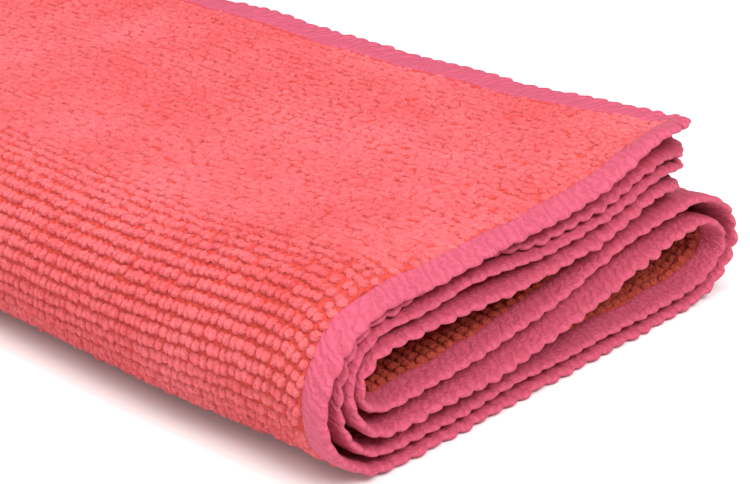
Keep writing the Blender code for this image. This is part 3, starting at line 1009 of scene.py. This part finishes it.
class ClothColours(bpy.types.PropertyGroup):
    """Colours of the cloth."""

    pile: colour_property("Pile", "Body of the loops", "#DE565C")
    light: colour_property("Light pile", "Palest fibres of the loops", "#F4888E")
    # Groove is painted shade at the foot of the loops. On the ground it is only a second tone, mixed in at
    # random.
    groove: colour_property("Groove", "Foot of the loops", "#CE4842")
    # The next three colours are painted shade: deeper, browner copies of the pile colours, for the loops
    # inside the folds.
    painted_shade_pile: colour_property("Inner pile", "Body of the loops inside the folds", "#BE4A3A")
    painted_shade_light_pile: colour_property("Inner light pile", "Palest fibres inside the folds", "#D26250")
    painted_shade_groove: colour_property("Inner groove", "Foot of the loops inside the folds", "#9C382A")
    ground: colour_property("Ground", "Knitted ground between the loops", "#BE423A")
    thread: colour_property("Thread", "Overlock thread", "#C8546E")
    # The deep thread colour is painted shade between the threads, mottled at random.
    thread_shade_and_mottle: colour_property("Deep thread", "Between the threads", "#AE4056")
    thread_sheen: colour_property("Thread sheen", "Soft gloss of the thread", "#E88AB0")


class ClothSizes(bpy.types.PropertyGroup):
    """Sizes of the loops and of the overlocked edge."""

    length: length_property("Loop length", "Size of a loop across its row", 2.3)
    width: length_property("Loop width", "Size of a loop along its row", 2.1)
    height: length_property("Loop height", "Height of a loop above its foot", 1.15)
    curl: length_property("Curl", "How far the yarn of a loop strays", 0.5)
    unevenness: bpy.props.FloatProperty(
        name="Unevenness", description="How much the loops differ in size", default=0.16,
        subtype="FACTOR", min=0.0, max=0.6,
    )
    scallop_pitch: length_property("Scallop pitch", "Length of one scallop of the edge", 3.5)
    scallop_depth: length_property("Scallop depth", "From tip to notch", 0.65)


WORKED_OUT = {}


def surface_of_cloth():
    """The folded surface, worked out once."""
    if "surface" not in WORKED_OUT:
        WORKED_OUT["surface"] = Surface()
    return WORKED_OUT["surface"]


class CLOTH_OT_ground(bpy.types.Operator):
    """Adds the knitted ground of the folded cloth"""

    bl_idname = "cloth.ground"
    bl_label = "Ground"

    def execute(self, context):
        colours = context.scene.cloth_colours
        piece = add_ground(surface_of_cloth(), ground_material(colours))
        finish_piece(piece)
        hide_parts("cloth")
        return {"FINISHED"}


class CLOTH_OT_edge(bpy.types.Operator):
    """Adds the overlocked edge round the cloth"""

    bl_idname = "cloth.edge"
    bl_label = "Overlocked edge"

    def execute(self, context):
        colours = context.scene.cloth_colours
        sizes = context.scene.cloth_sizes
        pitch, depth = sizes.scallop_pitch / MM, sizes.scallop_depth / MM
        material = thread_material(colours, pitch)
        finish_piece(add_edge(surface_of_cloth(), material, pitch, depth))
        return {"FINISHED"}


class CLOTH_OT_pile(bpy.types.Operator):
    """Adds the terry loops on the faces that show"""

    bl_idname = "cloth.pile"
    bl_label = "Pile loops"

    def execute(self, context):
        colours = context.scene.cloth_colours
        outside = terry_material(
            "warp knitted microfiber terry, dyed coral",
            colours.pile, colours.light, colours.groove,
        )
        # The same cloth looks deeper and browner inside its folds, mostly from light that it
        # throws back on itself. These colours are chosen for that: they are painted shade.
        inside = terry_material(
            "warp knitted microfiber terry, dyed coral, inside the folds",
            colours.painted_shade_pile, colours.painted_shade_light_pile, colours.painted_shade_groove,
        )
        tree = loop_tree()
        pieces = []
        surface, sizes = surface_of_cloth(), context.scene.cloth_sizes
        for seed, name in enumerate(PILE, start=FIRST_SEED):
            # Loops in the hollows take the copy in painted shade.
            material = inside if "hollow" in name else outside
            pieces.append(add_pile(surface, name, tree, material, sizes, seed))
        for piece in pieces:
            finish_piece(piece)
        return {"FINISHED"}


class CLOTH_OT_stage(bpy.types.Operator):
    """Adds the floor, the studio light and the camera"""

    bl_idname = "cloth.stage"
    bl_label = "Stage"

    def execute(self, context):
        add_stage(context.scene)
        return {"FINISHED"}


class CLOTH_PT_panel(bpy.types.Panel):
    """Lists the cloth's sizes, colours and pieces"""

    bl_idname = "CLOTH_PT_panel"
    bl_label = "Folded microfiber cloth"
    bl_space_type = "VIEW_3D"
    bl_region_type = "UI"
    bl_category = "Cloth"

    def draw(self, context):
        layout = self.layout
        for group in (context.scene.cloth_sizes, context.scene.cloth_colours):
            for name in group.__annotations__:
                layout.prop(group, name)
        for operator in OPERATORS:
            layout.operator(operator.bl_idname)


def add_softbox(name, place, aim, size, power):
    light = bpy.data.lights.new(name, "AREA")
    light.shape = "RECTANGLE"
    light.size, light.size_y = size
    light.energy = power
    lamp = bpy.data.objects.new(name, light)
    lamp.location = place
    lamp.rotation_euler = (Vector(aim) - Vector(place)).to_track_quat("-Z", "Y").to_euler()
    bpy.context.scene.collection.objects.link(lamp)


# Painted studio sweep: matt white paint, so it shows nothing but soft shade.
def floor_material():
    material, tree, shader = new_material("matt white painted board")
    place = add_node(tree, "ShaderNodeTexCoord")
    grain = add_node(
        tree, "ShaderNodeTexNoise",
        {"Vector": place.outputs["Object"], "Scale": 1.0 / (3 * MM), "Detail": 2.0},
    )
    bump = add_node(
        tree, "ShaderNodeBump",
        {"Height": grain.outputs["Fac"], "Strength": 0.05, "Distance": 0.1 * MM},
    )
    tree.links.new(bump.outputs["Normal"], shader.inputs["Normal"])
    set_shader(shader, {"Base Color": linear("#F4F3F3"), "Roughness": 0.9})
    return material


def add_stage(scene):
    corners = [(-1, -1, 0), (1, -1, 0), (1, 1, 0), (-1, 1, 0)]
    floor = add_mesh("floor", np.array(corners) * FLOOR_HALF, [(0, 1, 2, 3)], floor_material())

    world = bpy.data.worlds.new("white studio")
    world.use_nodes = True
    background = world.node_tree.nodes["Background"]
    set_shader(background, {"Color": (1.0, 1.0, 1.0, 1.0), "Strength": ROOM_LIGHT})
    scene.world = world
    for name, row in SOFTBOXES.items():
        add_softbox(name, *row)
    scene.view_settings.view_transform = "Standard"

    yaw, down, roll = (math.radians(a) for a in (CAMERA_YAW, CAMERA_DOWN, CAMERA_ROLL))
    level_share = math.cos(down)
    ahead = Vector((math.sin(yaw) * level_share, math.cos(yaw) * level_share, -math.sin(down)))
    level = Vector((math.cos(yaw), -math.sin(yaw), 0.0))
    upright = level.cross(ahead)
    right = math.cos(roll) * level + math.sin(roll) * upright
    up = -math.sin(roll) * level + math.cos(roll) * upright
    lens = bpy.data.cameras.new("camera")
    lens.lens = CAMERA_LENS
    lens.sensor_width = 36.0
    lens.clip_start = 0.01
    camera = bpy.data.objects.new("camera", lens)
    turn = Matrix((right, up, -ahead)).transposed().to_4x4()
    camera.matrix_world = Matrix.Translation(Vector(CAMERA_PLACE) * MM) @ turn
    scene.collection.objects.link(camera)
    scene.camera = camera


OPERATORS = (CLOTH_OT_ground, CLOTH_OT_edge, CLOTH_OT_pile, CLOTH_OT_stage)
CLASSES = (ClothColours, ClothSizes, *OPERATORS, CLOTH_PT_panel)


def register():
    for one in CLASSES:
        bpy.utils.register_class(one)
    bpy.types.Scene.cloth_colours = bpy.props.PointerProperty(type=ClothColours)
    bpy.types.Scene.cloth_sizes = bpy.props.PointerProperty(type=ClothSizes)


def unregister():
    del bpy.types.Scene.cloth_sizes
    del bpy.types.Scene.cloth_colours
    for one in reversed(CLASSES):
        bpy.utils.unregister_class(one)


def main():
    register()
    bpy.ops.cloth.ground()
    bpy.ops.cloth.edge()
    bpy.ops.cloth.pile()
    bpy.ops.cloth.stage()


if __name__ == "__main__":
    main()
